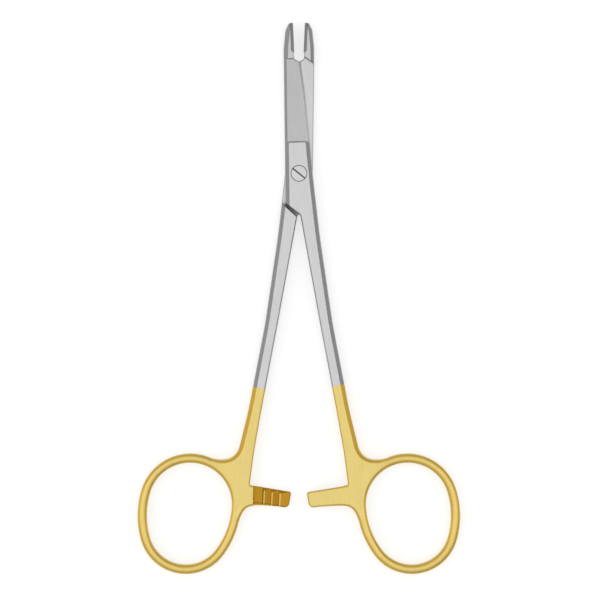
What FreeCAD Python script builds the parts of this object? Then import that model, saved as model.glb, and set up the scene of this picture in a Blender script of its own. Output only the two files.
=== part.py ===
import FreeCAD, Part
import math
import os

from FreeCAD import Vector

# A needle holder with scissor blades behind its jaws, lying flat.
# The pivot axis is x = 0, y = 0, the jaws point along +Y and the rings lie at -Y.
# The underside of the joint is z = 0.
# Both halves are one form: the lower half is the upper half turned over about the long axis.
# Each is drawn closed, and then turned about the pivot by half of the resting opening.

# Whole instrument
rest_opening = 4.4            # degrees between the two halves as they lie
joint_thickness = 5.4
lap_clearance = 0.04          # between the two halved faces of the joint

# Jaws, seen from the front with the closing line at x = 0
jaw_reach = 45.05             # pivot to jaw tips
jaw_tip_width = 1.3           # end of one jaw, before its corner is rounded
jaw_nose_width = 2.4
jaw_nose_back = 2.0           # from the tip
jaw_nose_round = 3.0
jaw_heel_width = 3.17
jaw_heel_back = 7.6           # from the tip
jaw_heel_round = 15.0
jaw_relief = 0.24             # jaw face behind the closing line, below the insert
jaw_tip_thickness = 2.5
jaw_heel_thickness = 4.2
jaw_taper_back = 9.7          # from the tip, where the jaw's taper meets the blade's
jaw_taper_round = 20.0
jaw_shoulder_drop = 0.7       # jaw shoulder's inner end, above the blade root
jaw_shoulder_slope = 34.0     # degrees

# Carbide inserts
insert_length = 8.55
insert_thickness = 0.75
insert_end_round = 0.5
closing_gap = 0.02            # from each gripping face to the closing line
insert_tip_round = 0.25
serration_pitch = 0.6
serration_land = 0.12
serration_depth = 0.12

# Scissor blades
blade_root_back = 10.75       # blade end at the jaw face, from the jaw tips
blade_tip_width = 1.8         # past the closing line
blade_tip_drop = 1.2          # blade tip below the blade root
blade_middle_width = 2.75
blade_middle_back = 21.6      # from the jaw tips
blade_middle_round = 80.0
blade_heel_reach = 9.4        # pivot to the end of the ground face
blade_root_round = 0.8
grind_spine_depth = 0.3       # ground face below the joint face, along the spine
grind_edge_depth = 0.85       # the same, along the cutting edge at the heel
grind_tip_depth = 0.55        # how much lower the ground face lies at the blade tip
edge_bevel_width = 0.55
edge_land = 0.5               # thickness left at the cutting edge
edge_bevel_stations = 5

# Lap joint
joint_open_side = 4.25        # half width beside the pivot, on the cutting edge's side
joint_open_side_drop = 2.0
joint_open_side_round = 200.0
lap_half_width = 4.37         # half width at the lap's corner, on the spine's side
lap_corner_drop = 8.95        # pivot to the lap's corner
lap_slope = 39.7              # degrees
shoulder_gap = 0.32           # between a lap's end and the other half's shoulder
flat_below_pivot = 14.4       # the joint's faces stay flat this far down
crotch_round = 0.8
spine_front_chamfer = 1.25    # along the back of jaw and blade, on the front
spine_back_chamfer = 1.0      # the same, on the underside

# Pivot screw
screw_head_radius = 2.36
screw_head_height = 1.3
screw_head_gap = 0.09         # groove seen round the head
screw_shoulder_radius = 1.6
screw_end_radius = 1.3
screw_running_clearance = 0.02
screw_thread_clearance = 0.01
screw_slot_width = 0.45
screw_slot_depth = 0.6
screw_slot_angle = -36.5      # degrees from +X
screw_edge_chamfer = 0.12

# Shanks
shank_length = 84.0           # pivot to the neck above the ring
shank_start = 1.26            # middle line at the pivot's height, from the closing line
shank_spread = 12.6           # middle line at the neck, from the closing line
shank_straight_share = 0.69   # of the spread, the rest is bow
shank_upper_share = 0.22      # stations along the shank, as shares of its length
shank_waist_share = 0.535
shank_lower_share = 0.85
shank_upper_width = 4.71
shank_waist_width = 3.8
shank_lower_width = 3.85
shank_neck_width = 4.7
shank_bend_round = 120.0
neck_flare = 2.0              # the outer edge runs out this far below the neck
neck_flare_length = 9.5
web_inward = 1.45             # inner side of the web, from the shank's middle line at the neck
taper_end_above_neck = 3.5    # the faces are flat again from here down
shank_taper_round = 100.0
outer_chamfer = 1.2           # cutting edge's side of the joint, and the shank's outer side
inner_chamfer = 0.3           # lap, inner side of the shank, and the arm

# Finger rings
ring_out = 16.26              # ring centre from the shank's middle line at the neck
ring_below = 17.33            # ring centre below the neck
ring_hole_half_width = 12.53
ring_hole_upper = 13.75       # from the ring centre to the top of the hole
ring_hole_lower = 16.86
ring_side_radius = 24.0       # of the two flatter arcs at the sides of the hole
ring_tilt = 8.4               # degrees
ring_band = 2.75
ring_thickness = 3.3
ring_edge_round = 0.85
ring_edge_facets = 2          # narrow flats that make up each of the ring's rounded edges
ring_root_turn = 25.0         # degrees of the ring over which web and arm run out into its band
web_saddle_round = 4.3

# Ratchet arms
arm_overreach = 1.05          # arm tip past the closing line
arm_width = 4.85
arm_below_neck = 13.5         # middle of the arm on the closing line, from the neck
arm_tilt = 7.1                # degrees
arm_upper_corner_round = 0.6
arm_lower_corner_round = 1.5
arm_upper_root_round = 0.6
arm_lower_root_round = 6.0
tooth_count = 3
tooth_pitch = 2.37
tooth_height = 0.8
tooth_crest_land = 0.22
tooth_catch_run = 0.3
tip_ramp_length = 2.95
tooth_recess_end = 9.9        # end of the toothed recess, from the closing line
tooth_side_chamfer_width = 0.85
tooth_side_chamfer_depth = 0.8

# Values that follow from the sizes above
mid_plane = joint_thickness / 2
far = 4 * jaw_reach
blade_root_reach = jaw_reach - blade_root_back
insert_end_reach = jaw_reach - insert_length
arm_drop = shank_length + arm_below_neck
web_inner_side = shank_spread - web_inward
ring_centre = Vector(shank_spread + ring_out, -shank_length - ring_below, 0)

# Share of a face's normal that is upright: at most in the plan's walls, at least in front and back
wall_upright = 0.1
level_upright = 0.7
tiny = 1e-6


def plan_distance(a, b):
    return math.hypot(a.x - b.x, a.y - b.y)


def edges_of(points):
    return [Part.LineSegment(a, b).toShape() for a, b in zip(points, points[1:])]


def rounded_run(corners):
    """Straight runs through the corners. Each corner is a point and the radius of its tangent arc."""
    points = [corner[0] for corner in corners]
    edges = []
    last = points[0]
    for before, (point, radius), after in zip(points, corners[1:-1], points[2:]):
        incoming = (point - before).normalize()
        outgoing = (after - point).normalize()
        turn = incoming.getAngle(outgoing)
        if radius == 0 or turn < tiny:
            edges.append(Part.LineSegment(last, point).toShape())
            last = point
            continue
        start = point - incoming * (radius * math.tan(turn / 2))
        end = point + outgoing * (radius * math.tan(turn / 2))
        inward = (outgoing - incoming).normalize()
        middle = point + inward * (radius / math.cos(turn / 2) - radius)
        edges.append(Part.LineSegment(last, start).toShape())
        edges.append(Part.Arc(start, middle, end).toShape())
        last = end
    edges.append(Part.LineSegment(last, points[-1]).toShape())
    return edges


def prism(points, bottom, top):
    outline = edges_of(points + [points[0]])
    face = Part.Face(Part.Wire(outline))
    face.translate(Vector(0, 0, bottom))
    return face.extrude(Vector(0, 0, top - bottom))


def shank_point(share, width, side):
    """A point on one edge of the shank: side is +1 on the outer edge and -1 on the inner one."""
    curve = shank_straight_share * share + (1 - shank_straight_share) * share ** 2
    middle = shank_start + (shank_spread - shank_start) * curve
    return Vector(middle + side * width / 2, -shank_length * share, 0)


def shank_edge(side):
    """The stations of one edge of the shank, with the wide arcs that join its straight runs."""
    stations = [
        (shank_upper_share, shank_upper_width),
        (shank_waist_share, shank_waist_width),
        (shank_lower_share, shank_lower_width),
    ]
    return [(shank_point(share, width, side), shank_bend_round) for share, width in stations]


def lap_corner():
    return Vector(-lap_half_width, -lap_corner_drop, 0)


def lap_direction():
    slope = math.radians(lap_slope)
    return Vector(math.cos(slope), -math.sin(slope), 0)


def crotch_corner():
    """Where the lap's end meets the closing line, the shank begins."""
    return lap_corner() + lap_direction() * (lap_half_width / math.cos(math.radians(lap_slope)))


def blade_root():
    return Vector(-jaw_relief, blade_root_reach, 0)


def blade_tip():
    return Vector(blade_tip_width, blade_root_reach - blade_tip_drop, 0)


def meeting_point(first, second):
    _, nearest, _ = first.distToShape(second)
    return nearest[0][0]


def into_ring(point, turn):
    """The middle of the ring's band, a turn further round the ring than a point on its outside."""
    ray = (point - ring_centre).normalize() * far
    ray_end = ring_centre + FreeCAD.Rotation(Vector(0, 0, 1), turn).multVec(ray)
    return meeting_point(Part.LineSegment(ring_centre, ray_end).toShape(), egg_wire(ring_band / 2))


def saddle_corner():
    """Where the outer edge of the shank meets the ring."""
    last_station, _ = shank_edge(+1)[-1]
    flared = shank_point(1.0, shank_neck_width, +1) + Vector(neck_flare, -neck_flare_length, 0)
    return meeting_point(Part.LineSegment(last_station, flared).toShape(), egg_wire(ring_band))


def outer_corners():
    """Along the cutting edge, the joint's open side and the outer edge of the shank, into the ring."""
    saddle = saddle_corner()
    corners = [
        (blade_tip(), 0),
        (Vector(blade_middle_width, jaw_reach - blade_middle_back, 0), blade_middle_round),
        (Vector(joint_open_side, -joint_open_side_drop, 0), joint_open_side_round),
    ]
    corners += shank_edge(+1)
    corners += [(saddle, web_saddle_round), (into_ring(saddle, -ring_root_turn), 0)]
    return corners


def arm_corners():
    middle = Vector(0, -arm_drop, 0)
    tilt = math.radians(arm_tilt)
    along = Vector(math.cos(tilt), math.sin(tilt), 0)
    across = Vector(-along.y, along.x, 0) * (arm_width / 2)
    tip = middle - along * (arm_overreach / math.cos(tilt))
    web = middle + along * (web_inner_side / math.cos(tilt))
    end = middle + along * ring_centre.x
    root_bottom = meeting_point(Part.LineSegment(tip - across, end - across).toShape(), egg_wire(ring_band))
    root_top = web + across - along * (across.x / math.cos(tilt))
    return [tip + across, tip - across, root_bottom, root_top]


def inner_corners():
    """Along the lap's end, the inner edge of the shank, the ratchet arm and into the ring."""
    tip_top, tip_bottom, root_bottom, root_top = arm_corners()
    return [
        (lap_corner(), 0),
        (crotch_corner(), crotch_round),
        *shank_edge(-1),
        (shank_point(1.0, shank_neck_width, -1), shank_bend_round / 2),
        (root_top, arm_upper_root_round),
        (tip_top, arm_upper_corner_round),
        (tip_bottom, arm_lower_corner_round),
        (root_bottom, arm_lower_root_round),
        (into_ring(root_bottom, ring_root_turn), 0),
    ]


def spine_corners():
    """Along the jaw's tip and the back of the jaw, the blade and the joint."""
    return [
        (Vector(-jaw_relief, jaw_reach, 0), 0),
        (Vector(-jaw_tip_width, jaw_reach, 0), 0),
        (Vector(-jaw_nose_width, jaw_reach - jaw_nose_back, 0), jaw_nose_round),
        (Vector(-jaw_heel_width, jaw_reach - jaw_heel_back, 0), jaw_heel_round),
    ]


def body_outline():
    """Jaw, blade, lap, shank and arm as one closed wire, seen from the front."""
    corners = spine_corners() + inner_corners() + [(ring_centre, 0)] + outer_corners()[::-1]
    corners += [(blade_root(), blade_root_round), spine_corners()[0]]
    return Part.Wire(rounded_run(corners))


def egg_arcs():
    """The four arcs of the ring's hole as centre, radius, start and end, anticlockwise from the right."""
    def end_radius(reach):
        wide = ring_hole_half_width
        return (2 * ring_side_radius * wide - wide ** 2 - reach ** 2) / (2 * (ring_side_radius - reach))
    side_offset = ring_side_radius - ring_hole_half_width
    upper_radius = end_radius(ring_hole_upper)
    lower_radius = end_radius(ring_hole_lower)
    upper_slope = math.degrees(math.atan2(ring_hole_upper - upper_radius, side_offset))
    lower_slope = math.degrees(math.atan2(ring_hole_lower - lower_radius, side_offset))
    return [
        (Vector(-side_offset, 0, 0), ring_side_radius, -lower_slope, upper_slope),
        (Vector(0, ring_hole_upper - upper_radius, 0), upper_radius, upper_slope, 180 - upper_slope),
        (Vector(side_offset, 0, 0), ring_side_radius, 180 - upper_slope, 180 + lower_slope),
        (Vector(0, lower_radius - ring_hole_lower, 0), lower_radius, 180 + lower_slope, 360 - lower_slope),
    ]


def placed_on_ring(shape):
    """Tilted as the ring is and moved to its centre."""
    shape = shape.copy()
    shape.rotate(Vector(0, 0, 0), Vector(0, 0, 1), ring_tilt)
    shape.translate(ring_centre)
    return shape


def egg_wire(margin):
    """The ring's egg shape, grown by a margin."""
    up = Vector(0, 0, 1)
    arcs = [Part.makeCircle(radius + margin, centre, up, start, end)
            for centre, radius, start, end in egg_arcs()]
    return placed_on_ring(Part.Wire(arcs))


def ring_section(radius):
    """The ring's section at a radius of its hole: each edge is rounded by a few narrow flats."""
    half_band = ring_band / 2
    half_height = ring_thickness / 2
    points = []
    for across, up, start in [(1, 1, 0), (-1, 1, 90), (-1, -1, 180), (1, -1, 270)]:
        corner = Vector(across * (half_band - ring_edge_round), 0, up * (half_height - ring_edge_round))
        for facet in range(ring_edge_facets + 1):
            angle = math.radians(start + 90 * facet / ring_edge_facets)
            points.append(corner + Vector(math.cos(angle), 0, math.sin(angle)) * ring_edge_round)
    section = Part.Face(Part.Wire(edges_of(points + [points[0]])))
    section.translate(Vector(radius + half_band, 0, mid_plane))
    return section


def finger_ring():
    """The ring, its section swept round the four arcs of the hole."""
    sweeps = []
    for centre, radius, start, end in egg_arcs():
        section = ring_section(radius)
        section.rotate(Vector(0, 0, 0), Vector(0, 0, 1), start)
        sweep = section.revolve(Vector(0, 0, 0), Vector(0, 0, 1), end - start)
        sweep.translate(centre)
        sweeps.append(sweep)
    return placed_on_ring(sweeps[0].fuse(sweeps[1:]).removeSplitter())


def half_thickness_profile():
    """The side view, as a solid: tapered jaws, flat joint, tapered shank and flat rings."""
    stations = [
        (jaw_reach, jaw_tip_thickness, 0),
        (jaw_reach - jaw_taper_back, jaw_heel_thickness, jaw_taper_round),
        (blade_heel_reach, joint_thickness, jaw_taper_round),
        (-flat_below_pivot, joint_thickness, shank_taper_round),
        (taper_end_above_neck - shank_length, ring_thickness, shank_taper_round),
        (ring_centre.y - 2 * ring_hole_lower, ring_thickness, 0),
    ]
    front = [(Vector(0, reach, mid_plane + wide / 2), bend) for reach, wide, bend in stations]
    back = [(Vector(0, reach, mid_plane - wide / 2), bend) for reach, wide, bend in stations]
    edges = rounded_run(front) + rounded_run(back)
    edges += edges_of([front[0][0], back[0][0]])
    edges += edges_of([front[-1][0], back[-1][0]])
    face = Part.Face(Part.Wire(Part.__sortEdges__(edges)))
    face.translate(Vector(-far / 2, 0, 0))
    return face.extrude(Vector(far, 0, 0))


def vertical_edge_near(shape, point):
    """The straight upright edge of the shape that stands closest to a point of the plan."""
    def distance(edge):
        a, b = edge.Vertexes[0].Point, edge.Vertexes[-1].Point
        if len(edge.Vertexes) < 2 or plan_distance(a, b) > tiny:
            return far
        return plan_distance(a, point)
    return min(shape.Edges, key=distance)


def forged_blank():
    """One half before machining, without its ring: in full thickness, with sharp rims."""
    body = Part.Face(body_outline()).extrude(Vector(0, 0, joint_thickness))
    return body.common(half_thickness_profile())


def face_normal(face, point):
    u, v = face.Surface.parameter(point)
    return face.normalAt(u, v)


def middle_of(edge):
    return edge.valueAt((edge.FirstParameter + edge.LastParameter) / 2)


def is_rim(shape, edge):
    """True where an upright wall of the plan meets the front or the back."""
    middle = middle_of(edge)
    faces = shape.ancestorsOfType(edge, Part.Face)
    slopes = sorted(abs(face_normal(face, middle).z) for face in faces)
    inside_hole = plan_distance(middle, ring_centre) < ring_hole_half_width
    return slopes[0] < wall_upright and slopes[-1] > level_upright and not inside_hole


def on_spine(point):
    return point.x < -jaw_tip_width and point.y > -lap_corner_drop


def on_outer_side(point):
    shank_middle = shank_point(-point.y / shank_length, 0, +1).x
    return point.x > shank_middle and point.y < blade_tip().y


def on_inner_side(point):
    return point.y < -lap_corner_drop and not on_outer_side(point)


def chamfered(blank, belongs, distance):
    """The blank with the rims that belong to one run of the outline chamfered."""
    edges = [edge for edge in blank.Edges if is_rim(blank, edge) and belongs(middle_of(edge))]
    return blank.makeChamfer(distance, edges)


def chamfered_blank():
    """The blank with its rims chamfered, each run of the outline by its own distance, and its ring."""
    blank = forged_blank()
    blank = chamfered(blank, lambda point: on_spine(point) and point.z > mid_plane, spine_front_chamfer)
    blank = chamfered(blank, lambda point: on_spine(point) and point.z < mid_plane, spine_back_chamfer)
    blank = chamfered(blank, on_outer_side, outer_chamfer)
    blank = chamfered(blank, on_inner_side, inner_chamfer)
    inside_ring = Part.Face(egg_wire(ring_band / 2)).extrude(Vector(0, 0, joint_thickness))
    return blank.cut(inside_ring).fuse(finger_ring()).removeSplitter()


def lap_cutter():
    """The space between jaw shoulder and shank shoulder that the other half's joint fills."""
    jaw_inner = Vector(-jaw_relief, blade_root_reach + jaw_shoulder_drop, 0)
    slope = math.radians(jaw_shoulder_slope)
    jaw_outer = jaw_inner - Vector(math.cos(slope), math.sin(slope), 0) * far
    blade_side = Vector(far, jaw_inner.y, 0)
    corner = lap_corner()
    along = lap_direction()
    away = Vector(along.y, -along.x, 0) * shoulder_gap
    mirrored_corner = Vector(-corner.x, corner.y, 0)
    shoulder = mirrored_corner + Vector(-away.x, away.y, 0)
    back_along = Vector(along.x, -along.y, 0)
    shank_outer = shoulder + back_along * (2 * lap_half_width)
    shank_inner = shoulder - back_along * far
    points = [jaw_outer, jaw_inner, blade_side, Vector(far, shank_outer.y, 0), shank_outer, shank_inner]
    return prism(points, -joint_thickness, mid_plane + lap_clearance / 2)


def ground_height(x, reach):
    """Height of the blade's ground face, which falls towards the cutting edge and the tip."""
    across = (x + lap_half_width) / (lap_half_width + joint_open_side)
    along = (reach - blade_heel_reach) / (blade_root_reach - blade_heel_reach)
    depth = grind_spine_depth + across * (grind_edge_depth - grind_spine_depth) + along * grind_tip_depth
    return joint_thickness - depth


def grind_cutter():
    side = 2 * lap_half_width
    corners = [
        (-side, blade_heel_reach), (side, blade_heel_reach),
        (side, blade_root_reach), (-side, blade_root_reach),
    ]
    points = [Vector(x, reach, ground_height(x, reach)) for x, reach in corners]
    face = Part.Face(Part.Wire(edges_of(points + [points[0]])))
    return face.extrude(Vector(0, 0, joint_thickness))


def blade_edge_point(reach):
    """The cutting edge at a distance above the pivot, found on the outline itself."""
    level = Part.LineSegment(Vector(0, reach, 0), Vector(far, reach, 0)).toShape()
    edge = Part.Wire(rounded_run(outer_corners())[:3])
    _, nearest, _ = edge.distToShape(level)
    return nearest[0][0]


def edge_bevel_cutter():
    """The narrow bevel along the cutting edge, lofted over stations along it."""
    sections = []
    for station in range(edge_bevel_stations):
        share = station / (edge_bevel_stations - 1)
        reach = blade_heel_reach + share * (blade_tip().y - blade_heel_reach)
        edge = blade_edge_point(reach)
        land = Vector(edge.x, reach, mid_plane + edge_land)
        crest = Vector(edge.x - edge_bevel_width, reach, ground_height(edge.x - edge_bevel_width, reach))
        slope = crest - land
        points = [land - slope, crest + slope, Vector(land.x - slope.x, reach, crest.z + slope.z)]
        sections.append(Part.Wire(edges_of(points + [points[0]])))
    past_the_tip = sections[-1].copy()
    past_the_tip.translate(Vector(0, blade_tip_drop, 0))
    sections.append(past_the_tip)
    return Part.makeLoft(sections, True)


def insert_outline(inner_side):
    """Plan of the insert: flat gripping face, square tip and a rounded lower end on the jaw's side."""
    end = insert_end_reach
    round_start = Vector(-insert_thickness, end + insert_end_round, 0)
    diagonal = insert_end_round * (1 - math.sqrt(0.5))
    round_middle = Vector(-insert_thickness + diagonal, end + diagonal, 0)
    round_end = Vector(-insert_thickness + insert_end_round, end, 0)
    top_outer = Vector(-insert_thickness, jaw_reach, 0)
    top_inner = Vector(inner_side, jaw_reach, 0)
    bottom_inner = Vector(inner_side, end, 0)
    edges = edges_of([round_end, bottom_inner, top_inner, top_outer, round_start])
    edges.append(Part.Arc(round_start, round_middle, round_end).toShape())
    return Part.Face(Part.Wire(Part.__sortEdges__(edges)))


def tooth_cutter():
    """All below the ratchet teeth, which stand on the arm's mid-plane side."""
    root = mid_plane + tooth_height / 2
    crest = mid_plane - tooth_height / 2
    below = -joint_thickness
    tip = -arm_overreach
    past_tip = tip - tooth_pitch
    profile = [Vector(past_tip, 0, root + tooth_height * tooth_pitch / tip_ramp_length)]
    reach = tip + tip_ramp_length
    for tooth in range(tooth_count):
        profile.append(Vector(reach, 0, crest))
        profile.append(Vector(reach + tooth_crest_land, 0, crest))
        profile.append(Vector(reach + tooth_crest_land + tooth_catch_run, 0, root))
        reach += tooth_pitch
    profile.append(Vector(tooth_recess_end, 0, root))
    profile.append(Vector(tooth_recess_end, 0, below))
    profile.append(Vector(past_tip, 0, below))
    wire = Part.Wire(edges_of(profile + [profile[0]]))
    face = Part.Face(wire)
    face.translate(Vector(0, -arm_drop - 2 * arm_width, 0))
    return face.extrude(Vector(0, 4 * arm_width, 0))


def tooth_side_cutter():
    """The chamfer along the teeth on the arm's side towards the jaws."""
    tip_top, _, _, root_top = arm_corners()
    along = (root_top - tip_top).normalize()
    across = Vector(-along.y, along.x, 0)
    crest = Vector(0, 0, mid_plane - tooth_height / 2)
    width = across * tooth_side_chamfer_width
    depth = Vector(0, 0, tooth_side_chamfer_depth)
    start = tip_top - along * arm_width + crest
    points = [start - width - width - depth, start + width + depth + depth, start + width - depth]
    face = Part.Face(Part.Wire(edges_of(points + [points[0]])))
    length = tooth_recess_end + arm_overreach + arm_width
    return face.extrude(along * length)


def machined_half():
    """The form that both halves share, before each gets its own hole for the screw."""
    pocket_cutter = insert_outline(lap_half_width).extrude(Vector(0, 0, joint_thickness))
    cutters = [lap_cutter(), grind_cutter(), edge_bevel_cutter(), pocket_cutter, tooth_cutter(),
               tooth_side_cutter()]
    half = chamfered_blank()
    for cutter in cutters:
        half = half.cut(cutter)
    return half


def turned_over(shape):
    """The other half's place of the same form: half a turn about the instrument's long axis."""
    shape = shape.copy()
    shape.rotate(Vector(0, 0, mid_plane), Vector(0, 1, 0), 180)
    return shape


def upright_cylinder(radius, bottom, top):
    return Part.makeCylinder(radius, top - bottom, Vector(0, 0, bottom))


def upper_half():
    """The half in front, with the screw head's seat sunk in its joint face."""
    seat = joint_thickness - screw_head_height - screw_running_clearance
    bore = upright_cylinder(screw_shoulder_radius + screw_running_clearance, 0, joint_thickness)
    head_seat = upright_cylinder(screw_head_radius + screw_head_gap, seat, joint_thickness)
    return machined_half().cut([bore, head_seat])


def lower_half():
    """The half behind, which holds the screw's end."""
    hole = upright_cylinder(screw_end_radius + screw_thread_clearance, 0, joint_thickness)
    return turned_over(machined_half()).cut(hole)


def pivot_screw():
    """Slotted head flush with the front, shoulder in the upper half, end flush with the underside."""
    shoulder_bottom = mid_plane - lap_clearance / 2
    head_bottom = joint_thickness - screw_head_height
    head = upright_cylinder(screw_head_radius, head_bottom, joint_thickness)
    top_edge = [edge for edge in head.Edges if abs(middle_of(edge).z - joint_thickness) < tiny]
    head = head.makeChamfer(screw_edge_chamfer, top_edge)
    shoulder = upright_cylinder(screw_shoulder_radius, shoulder_bottom, head_bottom)
    end = upright_cylinder(screw_end_radius, 0, shoulder_bottom)
    slot_length = 2 * (screw_head_radius + screw_edge_chamfer)
    corner = Vector(-slot_length / 2, -screw_slot_width / 2, joint_thickness - screw_slot_depth)
    slot = Part.makeBox(slot_length, screw_slot_width, 2 * screw_slot_depth, corner)
    slot.rotate(Vector(0, 0, 0), Vector(0, 0, 1), screw_slot_angle)
    return head.fuse([shoulder, end]).removeSplitter().cut(slot)


def serration_cutters():
    """Crossed grooves in the gripping face, first across the jaw and then along it."""
    face = -closing_gap
    width = serration_pitch - serration_land
    bottom = face - serration_depth
    across = []
    for groove in range(int(insert_length / serration_pitch)):
        start = insert_end_reach + serration_land + groove * serration_pitch
        points = [
            Vector(face, start, 0), Vector(bottom, start + width / 2, 0), Vector(face, start + width, 0),
        ]
        across.append(prism(points, 0, joint_thickness))
    along = []
    rows = int(jaw_heel_thickness / serration_pitch)
    for groove in range(rows):
        start = mid_plane + (groove - rows / 2) * serration_pitch + serration_land / 2
        points = [
            Vector(face, 0, start), Vector(bottom, 0, start + width / 2), Vector(face, 0, start + width),
        ]
        triangle = Part.Face(Part.Wire(edges_of(points + [points[0]])))
        triangle.translate(Vector(0, insert_end_reach, 0))
        along.append(triangle.extrude(Vector(0, insert_length, 0)))
    return across, along


def jaw_insert():
    insert = insert_outline(-closing_gap).extrude(Vector(0, 0, joint_thickness))
    tip_edge = vertical_edge_near(insert, Vector(-closing_gap, jaw_reach, 0))
    insert = insert.makeFillet(insert_tip_round, [tip_edge])
    insert = insert.common(half_thickness_profile())
    for grooves in serration_cutters():
        insert = insert.cut(grooves)
    return insert


def opened(shape, side):
    """Turned about the pivot to its resting place: side is +1 for the upper half, -1 for the lower."""
    shape = shape.copy()
    shape.rotate(Vector(0, 0, 0), Vector(0, 0, 1), side * rest_opening / 2)
    return shape


def build():
    os.makedirs("parts", exist_ok=True)
    pieces = {
        "upper_half": opened(upper_half(), +1),
        "upper_jaw_insert": opened(jaw_insert(), +1),
        "lower_half": opened(lower_half(), -1),
        "lower_jaw_insert": opened(turned_over(jaw_insert()), -1),
        "pivot_screw": opened(pivot_screw(), -1),
    }
    for name, shape in pieces.items():
        shape.exportStep("parts/" + name + ".step")
        print(name, "solids", len(shape.Solids), "valid", shape.isValid(), "volume", round(shape.Volume, 2))


build()
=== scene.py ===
import math

import bmesh
import bpy
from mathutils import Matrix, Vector


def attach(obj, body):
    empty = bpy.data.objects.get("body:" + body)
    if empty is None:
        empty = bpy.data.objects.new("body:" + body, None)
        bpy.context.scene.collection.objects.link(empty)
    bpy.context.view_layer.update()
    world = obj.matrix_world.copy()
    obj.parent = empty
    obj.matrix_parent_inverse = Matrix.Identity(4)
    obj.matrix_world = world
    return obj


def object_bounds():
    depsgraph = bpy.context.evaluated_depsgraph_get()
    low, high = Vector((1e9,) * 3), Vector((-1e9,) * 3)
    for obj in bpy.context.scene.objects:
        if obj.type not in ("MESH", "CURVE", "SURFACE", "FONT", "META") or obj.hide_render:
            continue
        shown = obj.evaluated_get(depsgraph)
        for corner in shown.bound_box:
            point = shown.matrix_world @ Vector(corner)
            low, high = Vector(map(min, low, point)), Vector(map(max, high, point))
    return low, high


# Needle holder lying flat on a white table, seen from straight above.
# The forged halves, the jaw inserts and the screw are the CAD nodes themselves.
# What is made here: their finishes, the webs where shank and ratchet arm run into the ring,
# the table, the lights and the camera.

mm = 0.001

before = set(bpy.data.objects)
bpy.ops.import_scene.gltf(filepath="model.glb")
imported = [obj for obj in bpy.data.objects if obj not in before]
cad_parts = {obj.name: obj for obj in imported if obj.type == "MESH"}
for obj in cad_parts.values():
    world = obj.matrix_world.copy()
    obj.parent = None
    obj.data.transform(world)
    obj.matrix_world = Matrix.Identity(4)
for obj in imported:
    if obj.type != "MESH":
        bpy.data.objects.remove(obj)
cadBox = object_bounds()
print("frame loaded:", ", ".join(sorted(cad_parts)))


# Shading

shading = {
    "weldDistance": 0.0005 * mm,  # corners that the CAD faces share
    "sharpAngle": 20,  # degrees, edges above this stay crisp
    "softEdge": 0.60 * mm,  # radius over which a ground edge looks broken
    "crispEdge": 0.08 * mm,  # the same round the screw's seat
    "crispWithin": 3.0 * mm,  # of the pivot's axis
    "crispFade": 0.3 * mm,  # past that, until edges are soft
    "ringEdge": 1.7 * mm,  # the same on the rings, which are rounder
    "ringFrom": 19.0 * mm,  # from the middle, where it begins to grow
    "ringTo": 26.0 * mm,
    "seamEdge": 0.01 * mm,  # the same where a web runs into the forging
    "samples": 8,  # for broken edges and crevices
    "noiseRoughness": 0.6,
    "bumpHeight": 0.01 * mm,
}


def smoothNode(piece):
    for polygon in piece.data.polygons:
        polygon.use_smooth = True
    weld = piece.modifiers.new("joinFaces", "WELD")
    weld.merge_threshold = shading["weldDistance"]
    split = piece.modifiers.new("keepEdges", "EDGE_SPLIT")
    split.split_angle = math.radians(shading["sharpAngle"])
    weighted = piece.modifiers.new("flatStaysFlat", "WEIGHTED_NORMAL")
    weighted.mode = "FACE_AREA"
    weighted.keep_sharp = True


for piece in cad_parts.values():
    smoothNode(piece)
print("shading set")


# Node helpers

def addNode(tree, kind, inputs=None, **settings):
    made = tree.nodes.new(kind)
    for name, value in settings.items():
        setattr(made, name, value)
    for name, value in (inputs or {}).items():
        socket = made.inputs[name]
        if isinstance(value, bpy.types.NodeSocket):
            tree.links.new(value, socket)
        else:
            socket.default_value = value
    return made


def mathNode(tree, operation, first, second=0.0):
    made = addNode(tree, "ShaderNodeMath", {0: first, 1: second}, operation=operation)
    return made.outputs[0]


def vectorNode(tree, operation, first, second=(0, 0, 0)):
    inputs = {0: first, 1: second}
    return addNode(tree, "ShaderNodeVectorMath", inputs, operation=operation)


def axisValue(tree, coords, axis):
    parts = addNode(tree, "ShaderNodeSeparateXYZ", {"Vector": coords})
    return parts.outputs[axis]


def ramp(tree, value, low, high, toLow=0.0, toHigh=1.0):
    inputs = {
        "Value": value,
        "From Min": low, "From Max": high,
        "To Min": toLow, "To Max": toHigh,
    }
    made = addNode(tree, "ShaderNodeMapRange", inputs, interpolation_type="SMOOTHSTEP")
    return made.outputs["Result"]


def mixColor(tree, share, first, second):
    made = addNode(tree, "ShaderNodeMix", {"Factor": share}, data_type="RGBA")
    for index, color in ((6, first), (7, second)):  # the node's colour sockets A and B
        if isinstance(color, bpy.types.NodeSocket):
            tree.links.new(color, made.inputs[index])
        else:
            made.inputs[index].default_value = (*color, 1)
    return made.outputs[2]


def mixValue(tree, share, first, second):
    made = addNode(tree, "ShaderNodeMix", {"Factor": share}, data_type="FLOAT")
    for index, value in ((2, first), (3, second)):  # its value sockets A and B
        if isinstance(value, bpy.types.NodeSocket):
            tree.links.new(value, made.inputs[index])
        else:
            made.inputs[index].default_value = value
    return made.outputs[0]


def newMetal(name):
    material = bpy.data.materials.new(name)
    material.use_nodes = True
    tree = material.node_tree
    shader = tree.nodes["Principled BSDF"]
    shader.inputs["Metallic"].default_value = 1.0
    return material, tree, shader


def addBump(tree, shader, height, strength, normal=None):
    inputs = {"Height": height, "Strength": strength, "Distance": shading["bumpHeight"]}
    if normal is not None:
        inputs["Normal"] = normal
    bump = addNode(tree, "ShaderNodeBump", inputs)
    tree.links.new(bump.outputs["Normal"], shader.inputs["Normal"])


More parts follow.
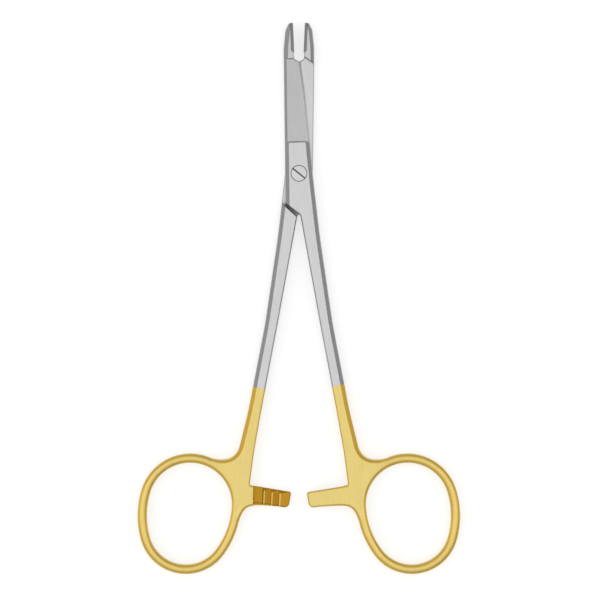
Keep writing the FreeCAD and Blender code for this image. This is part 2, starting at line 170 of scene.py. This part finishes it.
def grainNoise(tree, coords, size, stretch, detail):
    # Fine grain drawn out along Y, the way the brush ran
    scale = (1, 1 / stretch, 1)
    scaled = addNode(tree, "ShaderNodeMapping", {"Vector": coords, "Scale": scale})
    inputs = {
        "Vector": scaled.outputs[0],
        "Scale": 1 / size,
        "Detail": detail,
        "Roughness": shading["noiseRoughness"],
    }
    return addNode(tree, "ShaderNodeTexNoise", inputs).outputs["Fac"]


def softNormal(tree, coords):
    # Broken edges: widest on the rings, crisp round the screw
    # and where a web runs into the forging
    flatCoords = vectorNode(tree, "MULTIPLY", coords, (1, 1, 0)).outputs[0]
    fromPivot = vectorNode(tree, "LENGTH", flatCoords).outputs["Value"]
    crispEnd = shading["crispWithin"] + shading["crispFade"]
    radius = ramp(tree, fromPivot, shading["crispWithin"], crispEnd,
                  shading["crispEdge"], shading["softEdge"])
    fromMiddle = mathNode(tree, "ABSOLUTE", axisValue(tree, coords, "X"))
    ring = ramp(tree, fromMiddle, shading["ringFrom"], shading["ringTo"])
    radius = mixValue(tree, ring, radius, shading["ringEdge"])
    seam = addNode(tree, "ShaderNodeAttribute", attribute_name="seam").outputs["Fac"]
    radius = mixValue(tree, seam, radius, shading["seamEdge"])
    made = addNode(tree, "ShaderNodeBevel", {"Radius": radius}, samples=shading["samples"])
    return made.outputs["Normal"]


def boxShare(tree, coords, low, high, soft):
    # 1 inside a box of the frame, 0 outside
    parts = addNode(tree, "ShaderNodeSeparateXYZ", {"Vector": coords})
    share = 1.0
    for axis, start, end in zip("XYZ", low, high):
        rising = ramp(tree, parts.outputs[axis], start - soft, start + soft)
        falling = ramp(tree, parts.outputs[axis], end + soft, end - soft)
        within = mathNode(tree, "MULTIPLY", rising, falling)
        share = mathNode(tree, "MULTIPLY", within, share)
    return share


def paintedCreviceShade(tree, distance, start, end):
    # Painted shade: 1 deep in slots and grooves, 0 in the open
    occlusion = addNode(tree, "ShaderNodeAmbientOcclusion", {"Distance": distance},
                        samples=shading["samples"])
    return ramp(tree, occlusion.outputs["AO"], start, end)


def facingUp(tree, normal, start, end):
    # 1 on faces that look straight up or down, 0 on walls and rounded edges, where painted
    # shade and reflection go
    upright = mathNode(tree, "ABSOLUTE", axisValue(tree, normal, "Z"))
    return ramp(tree, upright, start, end)


# Forged halves: satin steel, gold-plated from the lower shanks down, with painted shade and
# reflections on edges, blade, crevices and ratchet

steel = {
    "satinColor": (0.785, 0.785, 0.79),
    # painted shade: the darker colour the rounded edges get instead of the flat one
    "edgeShadeColor": (0.43, 0.435, 0.44),
    "edgeReflectionColor": (0.86, 0.865, 0.87),  # painted reflection of the lit table, past the middle of a rounded edge
    "reflectionFrom": 0.66,  # up-facing share where that colour begins
    "reflectionTo": 0.55,
    "bevelLightColor": (0.86, 0.86, 0.86),  # painted light on the bevel along the cutting edge, in place of the edge shade
    # painted shade laid deep in slots, grooves and gaps
    "creviceShadeColor": (0.10, 0.10, 0.10),
    "creviceReach": 1.6 * mm,
    "creviceFrom": 0.50,  # open share of the surroundings where it begins to darken
    "creviceTo": 0.24,
    # painted shade: the tilted ground face of the blade, coloured darker
    "bladeShadeColor": (0.62, 0.62, 0.62),
    "satinRoughness": 0.34,
    "edgeRoughness": 0.24,
    "roughnessSpread": 0.10,
    "grainSize": 0.11 * mm,
    "grainStretch": 7,
    "grainDetail": 3,
    "grainDepth": 0.10,
    "stainColor": (0.1, 0.1, 0.1),  # blotches and streaks lean towards it
    "stainDetail": 4,
    "blotchSize": 2.4 * mm,
    "blotchStretch": 3,
    "blotchDarkening": 0.11,
    "streakSize": 0.45 * mm,
    "streakStretch": 9,
    "streakDarkening": 0.18,
    "flatStart": 0.955,  # up-facing share where the satin face begins and the painted edge shade ends
    "flatEnd": 0.995,
    "bladeFrom": 9.4 * mm,  # ground face of the scissor blade, from the pivot
    "bladeTo": 34.0 * mm,
    "bladeSoftness": 0.12 * mm,
    "bladeFaceFrom": 0.6 * mm,  # from the mid-plane
    "bladeFaceTo": 0.9 * mm,
}

gold = {
    "satinColor": (1.0, 0.79, 0.265),
    # painted shade: the deeper colour the rounded edges get instead of the flat one
    "edgeShadeColor": (0.95, 0.59, 0.08),
    # painted reflection of the lit table, past the middle of a rounded edge
    "edgeReflectionColor": (1.0, 0.80, 0.30),
    "recessShadeColor": (0.62, 0.315, 0.012),  # painted shade between the ratchet teeth
    "satinRoughness": 0.36,
    "edgeRoughness": 0.32,
    "lineSoftness": 0.12 * mm,
    "lineWander": 0.10 * mm,
    "wanderScale": 900,  # waves per metre
    "wanderDetail": 1,
}

# Where the plating ends: distance from the pivot along the shank, and the shank's slope
# there in degrees. Side is 1 for the half with its ring on the right, -1 for the other.
platingLine = {
    "upper_half": {"distance": 64.3 * mm, "slope": 12.0, "side": 1},
    "lower_half": {"distance": 65.2 * mm, "slope": 12.0, "side": -1},
}

midPlane = (cadBox[0].z + cadBox[1].z) / 2

# Ratchet: the recess with its teeth, halfway through both arms
teeth = {
    "low": (-14.0 * mm, -103.0 * mm, midPlane - 0.45 * mm),
    "high": (14.0 * mm, -93.0 * mm, midPlane + 0.45 * mm),
    "crest": 0.37 * mm,  # tooth tops, from the mid-plane
    "softness": 0.02 * mm,
}

# Cutting edge, on the side away from the blade's back
cuttingEdge = {
    "low": (-0.2 * mm, 9.6 * mm),
    "high": (5.0 * mm, 34.0 * mm),
    "softness": 0.1 * mm,
    "overreach": 1.0 * mm,  # above and below the blades
}


def platingShare(tree, coords, line):
    slope = math.radians(line["slope"])
    along = (line["side"] * math.sin(slope), -math.cos(slope), 0)
    reach = vectorNode(tree, "DOT_PRODUCT", coords, along).outputs["Value"]
    inputs = {"Vector": coords, "Scale": gold["wanderScale"], "Detail": gold["wanderDetail"]}
    wander = addNode(tree, "ShaderNodeTexNoise", inputs).outputs["Fac"]
    centred = mathNode(tree, "SUBTRACT", wander, 0.5)
    offset = mathNode(tree, "MULTIPLY", centred, gold["lineWander"])
    distance = mathNode(tree, "ADD", reach, offset)
    half = gold["lineSoftness"] / 2
    return ramp(tree, distance, line["distance"] - half, line["distance"] + half)


# Where the blade's ground face gets its painted shade
def bladeShare(tree, coords, side):
    along = axisValue(tree, coords, "Y")
    soft = steel["bladeSoftness"]
    aboveHeel = ramp(tree, along, steel["bladeFrom"] - soft, steel["bladeFrom"] + soft)
    belowJaw = ramp(tree, along, steel["bladeTo"] + soft, steel["bladeTo"] - soft)
    fromMiddle = mathNode(tree, "SUBTRACT", axisValue(tree, coords, "Z"), midPlane)
    outward = mathNode(tree, "MULTIPLY", fromMiddle, side)
    outer = ramp(tree, outward, steel["bladeFaceFrom"], steel["bladeFaceTo"])
    within = mathNode(tree, "MULTIPLY", aboveHeel, belowJaw)
    return mathNode(tree, "MULTIPLY", within, outer)


# Painted shade: the recess between the ratchet teeth, below their crests
def recessShare(tree, coords, side):
    soft = teeth["softness"]
    inside = boxShare(tree, coords, teeth["low"], teeth["high"], soft)
    fromMiddle = mathNode(tree, "SUBTRACT", axisValue(tree, coords, "Z"), midPlane)
    outward = mathNode(tree, "MULTIPLY", fromMiddle, -side)
    belowCrest = ramp(tree, outward, teeth["crest"] + soft, teeth["crest"] - soft)
    return mathNode(tree, "MULTIPLY", inside, belowCrest)


# Where steel edges get painted light instead of painted shade
def cuttingShare(tree, coords, side):
    (near, heel), (wide, tip) = cuttingEdge["low"], cuttingEdge["high"]
    if side < 0:
        near, wide = -wide, -near
    low = (near, heel, cadBox[0].z - cuttingEdge["overreach"])
    high = (wide, tip, cadBox[1].z + cuttingEdge["overreach"])
    return boxShare(tree, coords, low, high, cuttingEdge["softness"])


def stainShare(tree, coords):
    detail = steel["stainDetail"]
    blotch = grainNoise(tree, coords, steel["blotchSize"], steel["blotchStretch"], detail)
    streak = grainNoise(tree, coords, steel["streakSize"], steel["streakStretch"], detail)
    return mathNode(tree, "ADD", mathNode(tree, "MULTIPLY", blotch, steel["blotchDarkening"]),
                    mathNode(tree, "MULTIPLY", streak, steel["streakDarkening"]))


def forgedMetal(nodeName):
    material, tree, shader = newMetal(nodeName + "Metal")
    line = platingLine[nodeName]
    side = line["side"]
    coords = addNode(tree, "ShaderNodeTexCoord").outputs["Object"]
    rounded = softNormal(tree, coords)
    flat = facingUp(tree, rounded, steel["flatStart"], steel["flatEnd"])
    # Where the painted reflection of the table goes, on the outer part of rounded edges
    reflectionShare = facingUp(tree, rounded, steel["reflectionFrom"], steel["reflectionTo"])
    plated = platingShare(tree, coords, line)

    # Painted shade on the blade's ground face
    blade = bladeShare(tree, coords, side)
    satinSteel = mixColor(tree, blade, steel["satinColor"], steel["bladeShadeColor"])
    satin = mixColor(tree, plated, satinSteel, gold["satinColor"])
    cutting = cuttingShare(tree, coords, side)
    # Painted light on the cutting bevel, painted shade on the other steel edges
    steelEdgeShading = mixColor(tree, cutting, steel["edgeShadeColor"], steel["bevelLightColor"])
    # Painted shade on the inner part of every rounded edge
    inner = mixColor(tree, plated, steelEdgeShading, gold["edgeShadeColor"])
    outer = mixColor(tree, plated, steel["edgeReflectionColor"], gold["edgeReflectionColor"])
    edge = mixColor(tree, reflectionShare, inner, outer)
    color = mixColor(tree, flat, edge, satin)
    # Painted shade between the ratchet teeth
    color = mixColor(tree, recessShare(tree, coords, side), color, gold["recessShadeColor"])
    color = mixColor(tree, stainShare(tree, coords), color, steel["stainColor"])
    # Painted shade deep in slots, grooves and gaps
    shade = paintedCreviceShade(tree, steel["creviceReach"], steel["creviceFrom"], steel["creviceTo"])
    color = mixColor(tree, shade, color, steel["creviceShadeColor"])
    tree.links.new(color, shader.inputs["Base Color"])

    satinRoughness = mixValue(tree, plated, steel["satinRoughness"], gold["satinRoughness"])
    edgeRoughness = mixValue(tree, plated, steel["edgeRoughness"], gold["edgeRoughness"])
    roughness = mixValue(tree, flat, edgeRoughness, satinRoughness)
    grain = grainNoise(tree, coords, steel["grainSize"], steel["grainStretch"],
                       steel["grainDetail"])
    centred = mathNode(tree, "SUBTRACT", grain, 0.5)
    spread = mathNode(tree, "MULTIPLY", centred, steel["roughnessSpread"])
    tree.links.new(mathNode(tree, "ADD", roughness, spread), shader.inputs["Roughness"])
    addBump(tree, shader, grain, steel["grainDepth"], rounded)
    return material


# Jaw inserts: sintered carbide, ground dull

carbide = {
    "color": (0.29, 0.29, 0.295),
    "roughness": 0.46,
    "freckleColor": (0.17, 0.17, 0.175),
    "freckleRoughness": 0.58,
    "freckleSize": 0.16 * mm,
    "freckleDetail": 5,
    "freckleFrom": 0.45,  # noise level where a freckle begins
    "freckleTo": 0.7,
    "depth": 0.14,
}


def carbideMetal():
    material, tree, shader = newMetal("carbideMetal")
    coords = addNode(tree, "ShaderNodeTexCoord").outputs["Object"]
    freckle = grainNoise(tree, coords, carbide["freckleSize"], 1, carbide["freckleDetail"])
    share = ramp(tree, freckle, carbide["freckleFrom"], carbide["freckleTo"])
    color = mixColor(tree, share, carbide["color"], carbide["freckleColor"])
    tree.links.new(color, shader.inputs["Base Color"])
    roughness = mixValue(tree, share, carbide["roughness"], carbide["freckleRoughness"])
    tree.links.new(roughness, shader.inputs["Roughness"])
    addBump(tree, shader, freckle, carbide["depth"])
    return material


# Pivot screw: turned steel, the head ground flush with the joint, with painted shade in its
# slot

screw = {
    "color": (0.70, 0.70, 0.71),
    # painted shade in the slot, below the head's face
    "slotShadeColor": (0.12, 0.12, 0.125),
    "roughness": 0.30,
    "ringPitch": 0.09 * mm,  # turning marks on the head
    "ringDepth": 0.12,
    "ringDistortion": 0.6,
    "wavePeriod": 0.31,  # the wave texture's own, at a scale of 1
    "slotTop": 0.35 * mm,  # below the head's face
    "slotFade": 0.25,  # share of that depth that still counts as face
}


def screwMetal():
    material, tree, shader = newMetal("screwMetal")
    coords = addNode(tree, "ShaderNodeTexCoord").outputs["Object"]
    inputs = {
        "Vector": coords,
        "Scale": screw["wavePeriod"] / screw["ringPitch"],
        "Distortion": screw["ringDistortion"],
    }
    rings = addNode(tree, "ShaderNodeTexWave", inputs, wave_type="RINGS", rings_direction="Z")
    # Painted shade: below the head's face the slot is coloured dark
    face = ramp(tree, axisValue(tree, coords, "Z"), cadBox[1].z - screw["slotTop"],
                cadBox[1].z - screw["slotTop"] * screw["slotFade"])
    color = mixColor(tree, face, screw["slotShadeColor"], screw["color"])
    tree.links.new(color, shader.inputs["Base Color"])
    shader.inputs["Roughness"].default_value = screw["roughness"]
    addBump(tree, shader, rings.outputs["Fac"], screw["ringDepth"])
    return material


def dress(nodeName, material):
    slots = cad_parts[nodeName].data.materials
    slots.clear()
    slots.append(material)


halfMetal = {name: forgedMetal(name) for name in platingLine}
for name, metal in halfMetal.items():
    dress(name, metal)
insertMetal = carbideMetal()
dress("upper_jaw_insert", insertMetal)
dress("lower_jaw_insert", insertMetal)
dress("pivot_screw", screwMetal())
print("metals done")


# Webs: where shank and arm run into the ring in one sweep, in full ring thickness

webs = {
    "thickness": 3.3 * mm,
    "proud": 0.01 * mm,  # over the forging they lie on
    "sunk": 0.06 * mm,  # under its faces along the inner line and at both ends
    "level": 0.72,  # share of the way to the inner line that stays level
    "awayFromTeeth": 0.42 * mm,  # from the mid-plane, where the teeth are on the other side
    "steps": 8,  # stations between two points
    "endStations": 10,  # over which the ends sink in
}

# All in mm, on the upper half as it lies. The lower half has them mirrored.
saddle = {
    "outer": [(17.49, -80.5), (17.80, -81.7), (18.30, -82.9), (19.10, -84.0), (20.2, -84.85),
              (21.6, -85.35), (23.1, -85.50), (24.6, -85.40), (26.1, -85.08), (27.4, -84.56)],
    "inner": [(15.35, -81.03), (15.5, -82.6), (15.9, -84.6), (16.6, -87.0), (18.6, -89.8),
              (21.2, -90.3), (23.3, -88.5), (25.2, -87.15), (26.6, -86.35), (27.8, -85.9)],
    "edge": (1.2, 0.85),  # width of the broken edge, from first to last point
    "roundness": (0.5, 0.293),  # 0.5 is a plain chamfer, 0.293 a quarter round
    "pastTeeth": 0,
}

armRoot = {
    "outer": [(4.8, -99.71), (6.4, -99.53), (8.6, -99.38), (10.8, -99.26), (12.8, -99.22),
              (14.3, -99.38), (15.5, -99.88), (16.4, -100.7), (17.05, -101.75),
              (17.48, -102.75), (17.85, -103.75), (18.22, -105.1)],
    "inner": [(4.8, -98.3), (6.4, -98.1), (8.6, -97.8), (10.8, -97.5), (12.8, -97.2),
              (14.5, -97.2), (16.2, -97.6), (17.6, -98.8), (18.5, -100.3), (18.75, -101.8),
              (18.95, -103.1), (19.45, -104.75)],
    "edge": (0.3, 0.85),
    "roundness": (0.5, 0.293),
    "pastTeeth": 13.6,  # nearer the arm's tip it stays on the side away from the teeth
}


def smoothPath(points, steps):
    # Even curve through all the points
    padded = [points[0] * 2 - points[1]] + points + [points[-1] * 2 - points[-2]]
    path = []
    for before, start, end, after in zip(padded, padded[1:], padded[2:], padded[3:]):
        for step in range(steps):
            t = step / steps
            path.append(0.5 * (2 * start + (end - before) * t
                               + (2 * before - 5 * start + 4 * end - after) * t * t
                               + (3 * start - before - 3 * end + after) * t ** 3))
    return path + [points[-1]]


def between(pair, share):
    return pair[0] * (1 - share) + pair[1] * share


def webSection(outer, inner, inward, shape, side):
    # One station across the web, from its top face round to its bottom face
    edge, roundness = shape["edge"], shape["roundness"]
    top = webs["thickness"] / 2 + shape["proud"]
    wall = outer - inward * shape["proud"]
    shoulder = wall + inward * edge
    half = [
        (inner, webs["thickness"] / 2 - webs["sunk"]),
        (shoulder.lerp(inner, webs["level"]), top),
        (shoulder, top),
        (wall + inward * edge * roundness, top - edge * roundness),
        (wall, top - edge),
    ]
    bottom = -top if shape["fullDepth"] else webs["awayFromTeeth"]
    section = half + [(point, bottom + top - height) for point, height in reversed(half)]
    return [(point.x, point.y, midPlane + side * height) for point, height in section]


def webStations(web, side):
    # All stations from the web's first point to its last
    outer, inner = (
        smoothPath([Vector((side * x * mm, y * mm)) for x, y in web[run]], webs["steps"])
        for run in ("outer", "inner")
    )
    last = len(outer) - 1
    stations = []
    for index, (outerPoint, innerPoint) in enumerate(zip(outer, inner)):
        along = outer[min(index + 1, last)] - outer[max(index - 1, 0)]
        inward = Vector((along.y, -along.x)).normalized()
        if inward.dot(innerPoint - outerPoint) < 0:
            inward = -inward
        share = index / last
        sinking = max(0, 1 - min(index, last - index) / webs["endStations"])
        shape = {
            "proud": webs["proud"] - (webs["proud"] + webs["sunk"]) * sinking,
            "edge": between(web["edge"], share) * mm,
            "roundness": between(web["roundness"], share),
            "fullDepth": abs(outerPoint.x) > web["pastTeeth"] * mm,
        }
        stations.append(webSection(outerPoint, innerPoint, inward, shape, side))
    return stations


def closedShell(name, stations):
    # Walls from each station to the next, and a cap at both ends
    count, last = len(stations[0]), len(stations) - 1
    faces = [tuple(range(count)), tuple(range(last * count, (last + 1) * count))]
    for row in range(last):
        for column in range(count):
            here, beside = row * count + column, row * count + (column + 1) % count
            faces.append((here, beside, beside + count, here + count))
    mesh = bpy.data.meshes.new(name)
    mesh.from_pydata([corner for station in stations for corner in station], [], faces)
    shell = bmesh.new()
    shell.from_mesh(mesh)
    bmesh.ops.recalc_face_normals(shell, faces=shell.faces)
    shell.to_mesh(mesh)
    shell.free()
    return mesh


def makeWeb(name, web, nodeName, body):
    stations = webStations(web, platingLine[nodeName]["side"])
    mesh = closedShell(name, stations)
    mesh.materials.append(halfMetal[nodeName])
    count = len(stations[0])
    atInner = (0, 1, count - 2, count - 1)  # corners that lie on the forging
    seam = mesh.attributes.new("seam", "FLOAT", "POINT")
    marks = [float(index % count in atInner) for index in range(len(mesh.vertices))]
    seam.data.foreach_set("value", marks)
    piece = bpy.data.objects.new(name, mesh)
    bpy.context.scene.collection.objects.link(piece)
    smoothNode(piece)
    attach(piece, body)


for nodeName, body in (("upper_half", "upper"), ("lower_half", "lower")):
    makeWeb(body + "Saddle", saddle, nodeName, body)
    makeWeb(body + "ArmRoot", armRoot, nodeName, body)
print("webs done")


# Table: white paper, evenly lit

table = {
    "size": 4.0,  # metres
    "color": (0.60, 0.60, 0.60),
    "glowSeen": 0.62,  # what the camera sees on top of the lit paper
    "glowMirrored": 0.36,  # the same in the metal
    "roughness": 0.8,
    "gap": 0.02 * mm,  # under the joint
}


def makeTable():
    half = table["size"] / 2
    height = cadBox[0].z - table["gap"]
    corners = [(-half, -half, height), (half, -half, height),
               (half, half, height), (-half, half, height)]
    mesh = bpy.data.meshes.new("table")
    mesh.from_pydata(corners, [], [(0, 1, 2, 3)])
    plane = bpy.data.objects.new("table", mesh)
    bpy.context.scene.collection.objects.link(plane)
    material = bpy.data.materials.new("whitePaper")
    material.use_nodes = True
    tree = material.node_tree
    shader = tree.nodes["Principled BSDF"]
    shader.inputs["Base Color"].default_value = (*table["color"], 1)
    shader.inputs["Roughness"].default_value = table["roughness"]
    shader.inputs["Specular IOR Level"].default_value = 0.0
    path = addNode(tree, "ShaderNodeLightPath").outputs
    seen = mathNode(tree, "MULTIPLY", path["Is Camera Ray"], table["glowSeen"])
    mirrored = mathNode(tree, "MULTIPLY", path["Is Glossy Ray"], table["glowMirrored"])
    inputs = {"Color": (1, 1, 1, 1), "Strength": mathNode(tree, "ADD", seen, mirrored)}
    glow = addNode(tree, "ShaderNodeEmission", inputs)
    both = addNode(tree, "ShaderNodeAddShader", {0: shader.outputs[0], 1: glow.outputs[0]})
    tree.links.new(both.outputs[0], tree.nodes["Material Output"].inputs["Surface"])
    mesh.materials.append(material)


makeTable()


# Light: a bright tent overhead that darkens towards the horizon,
# and two long soft boxes that lean in from both sides

tent = {
    "top": 0.815,
    "leftHorizon": 0.60,
    "rightHorizon": 0.42,
    "leftEnd": -0.6,  # sideways part of the direction where each side is reached
    "rightEnd": 0.6,
    "fadeFrom": 0.96,  # height of the direction, 1 straight up
    "fadeTo": 0.60,
}

softBoxes = {
    "radiance": 0.50,
    "wattsPerRadiance": 4,  # and square metre, for an area lamp
    "width": 0.35,  # metres
    "length": 1.3,
    "distance": 1.2,
    "lean": 36,  # degrees from straight up
}


def makeTent():
    world = bpy.data.worlds.new("tent")
    world.use_nodes = True
    bpy.context.scene.world = world
    tree = world.node_tree
    direction = addNode(tree, "ShaderNodeTexCoord").outputs["Generated"]
    parts = addNode(tree, "ShaderNodeSeparateXYZ", {"Vector": direction}).outputs
    horizon = ramp(tree, parts["X"], tent["leftEnd"], tent["rightEnd"],
                   tent["leftHorizon"], tent["rightHorizon"])
    upward = ramp(tree, parts["Z"], tent["fadeTo"], tent["fadeFrom"])
    strength = mixValue(tree, upward, horizon, tent["top"])
    background = tree.nodes["Background"]
    background.inputs["Color"].default_value = (1, 1, 1, 1)
    tree.links.new(strength, background.inputs["Strength"])


def makeSoftBox(name, side, target):
    lean = math.radians(softBoxes["lean"])
    away = Vector((side * math.sin(lean), 0, math.cos(lean)))
    area = softBoxes["width"] * softBoxes["length"]
    lamp = bpy.data.lights.new(name, "AREA")
    lamp.shape = "RECTANGLE"
    lamp.size = softBoxes["width"]
    lamp.size_y = softBoxes["length"]
    lamp.energy = softBoxes["wattsPerRadiance"] * area * softBoxes["radiance"]
    box = bpy.data.objects.new(name, lamp)
    bpy.context.scene.collection.objects.link(box)
    box.location = target + away * softBoxes["distance"]
    box.rotation_euler = away.to_track_quat("Z", "Y").to_euler()


middle = (cadBox[0] + cadBox[1]) / 2
makeTent()
makeSoftBox("softBoxLeft", -1, middle)
makeSoftBox("softBoxRight", 1, middle)
print("table and lights done")


# Camera: straight above, long lens

photo = {
    "width": 600,  # pixels, and as high
    "pixelSize": 0.2982 * mm,  # on the instrument
    "pivotX": 298.9,  # pixels from the left and from the top
    "pivotY": 173.3,
    "lens": 200,  # mm
    "sensor": 36,
}


def makeCamera():
    lens = bpy.data.cameras.new("camera")
    lens.lens = photo["lens"]
    lens.sensor_width = photo["sensor"]
    viewWidth = photo["width"] * photo["pixelSize"]
    camera = bpy.data.objects.new("camera", lens)
    bpy.context.scene.collection.objects.link(camera)
    x = (photo["width"] / 2 - photo["pivotX"]) * photo["pixelSize"]
    y = (photo["pivotY"] - photo["width"] / 2) * photo["pixelSize"]
    camera.location = (x, y, cadBox[1].z + viewWidth * photo["lens"] / photo["sensor"])
    bpy.context.scene.camera = camera


makeCamera()

settings = bpy.context.scene.view_settings
settings.view_transform = "Standard"
print("camera done")
